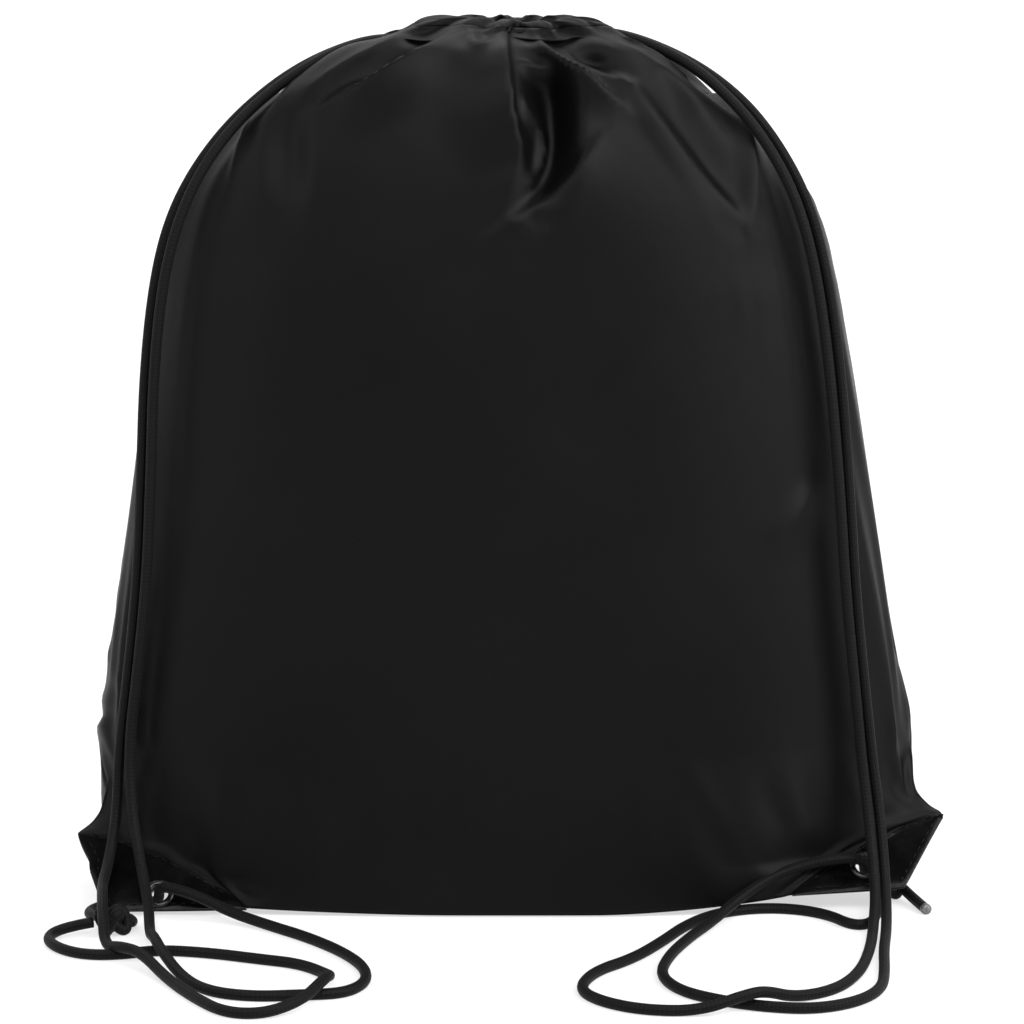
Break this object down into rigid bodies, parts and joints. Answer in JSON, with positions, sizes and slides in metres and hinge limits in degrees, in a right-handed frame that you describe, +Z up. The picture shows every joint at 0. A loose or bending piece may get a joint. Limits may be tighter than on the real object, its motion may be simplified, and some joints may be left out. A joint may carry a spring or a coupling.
{
  "type": "drawstring backpack",
  "caption": "Soft drawstring backpack, stuffed and standing upright with its mouth pulled shut, with glossy corner patches, eyelets and looped cord straps.",
  "frame": {"origin": "on the floor, under the middle of the standing bag's bounding box, its free cords left out", "axes": "+Z up, +X to the bag's right as seen from the front, the front faces -Y"},
  "size_m": [0.3359, 0.2326, 0.33],
  "materials": {
    "nylon_fabric": "satin black woven nylon",
    "glossy_patch": "glossy black coated imitation leather",
    "black_metal": "black enamelled metal",
    "braided_cord": "matte black braided cord"
  },
  "bodies": {
    "root": {"front_panel": "nylon_fabric", "back_panel": "nylon_fabric", "front_tunnel": "nylon_fabric", "back_tunnel": "nylon_fabric", "left_corner_patch_front": "glossy_patch", "left_corner_patch_back": "glossy_patch", "right_corner_patch_front": "glossy_patch", "right_corner_patch_back": "glossy_patch", "left_eyelet": "black_metal", "left_eyelet_washer": "black_metal", "right_eyelet": "black_metal", "right_eyelet_washer": "black_metal", "right_tunnel_cord": "braided_cord", "left_tunnel_cord": "braided_cord", "right_front_strand": "braided_cord", "right_back_strand": "braided_cord", "left_front_strand": "braided_cord", "left_back_strand": "braided_cord", "left_cord_tail": "braided_cord", "right_cord_tail": "braided_cord", "left_knot": "braided_cord", "right_knot": "braided_cord"}
  },
  "joints": []
}
